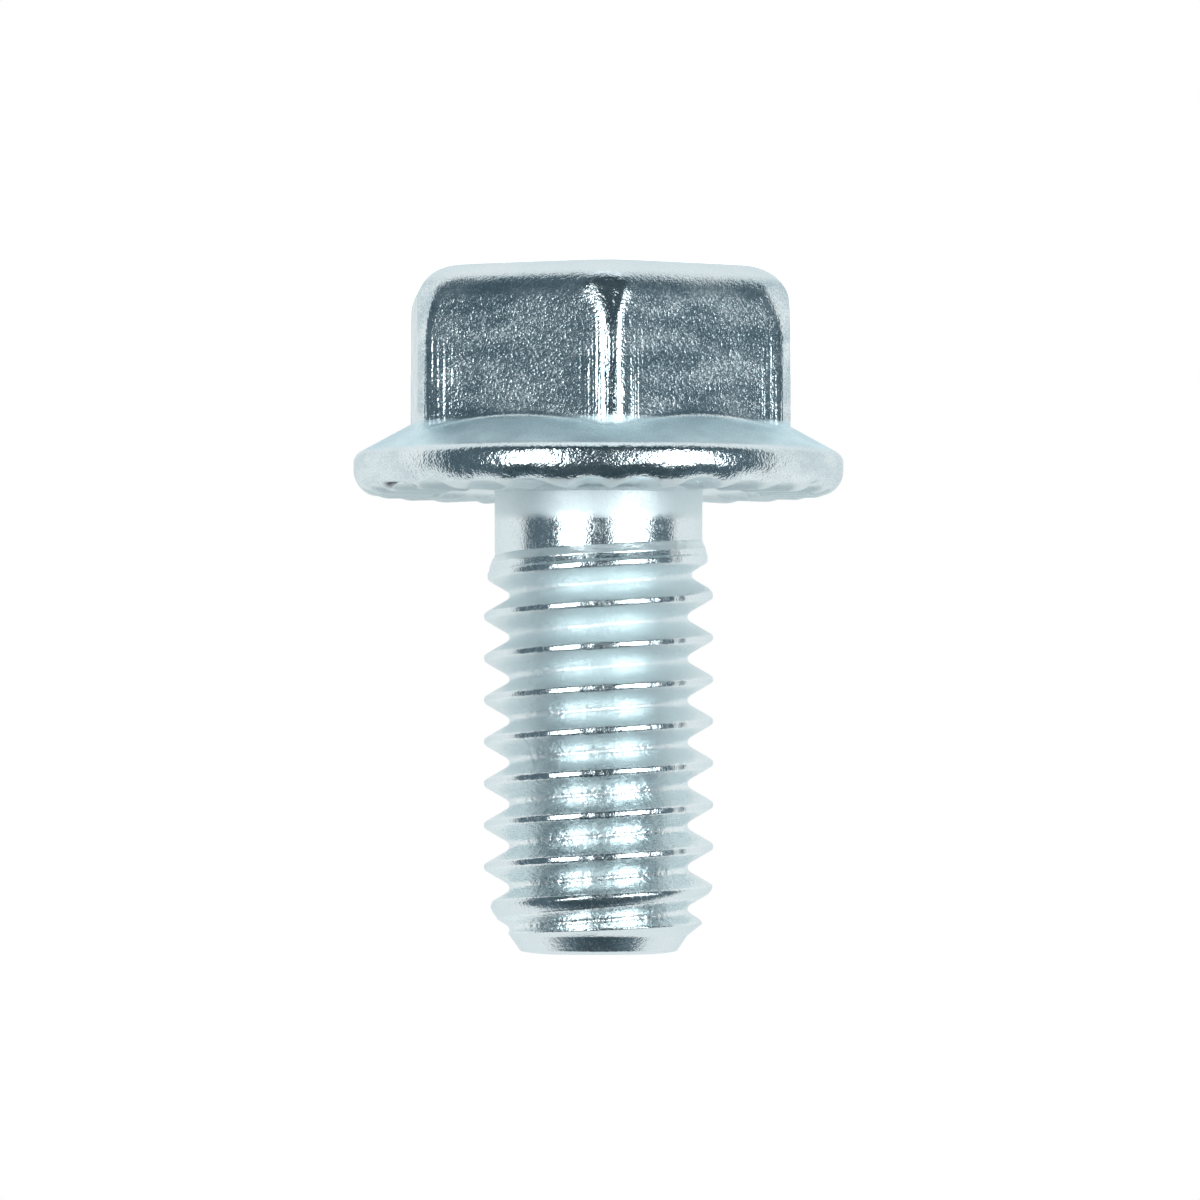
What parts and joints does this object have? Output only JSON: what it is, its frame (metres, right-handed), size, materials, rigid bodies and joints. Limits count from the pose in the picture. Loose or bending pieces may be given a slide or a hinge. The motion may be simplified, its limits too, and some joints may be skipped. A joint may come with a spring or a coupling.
{
  "type": "serrated hex flange bolt",
  "caption": "Short hex flange bolt of zinc-plated steel with a coarse right-hand thread, a plain neck, a rounded hexagon head and a toothed bearing flange.",
  "frame": {"origin": "centre of the flat bearing ring under the flange, on the thread's axis", "axes": "+Z along the shank towards its tip, X across two flats of the hexagon; the bolt stands on the flat top of its head"},
  "size_m": [0.0166, 0.0166, 0.0232],
  "materials": {
    "zinc_steel": "bright clear zinc plating over cold-formed steel, lightly speckled"
  },
  "bodies": {
    "root": {"bolt": "zinc_steel"}
  },
  "joints": []
}
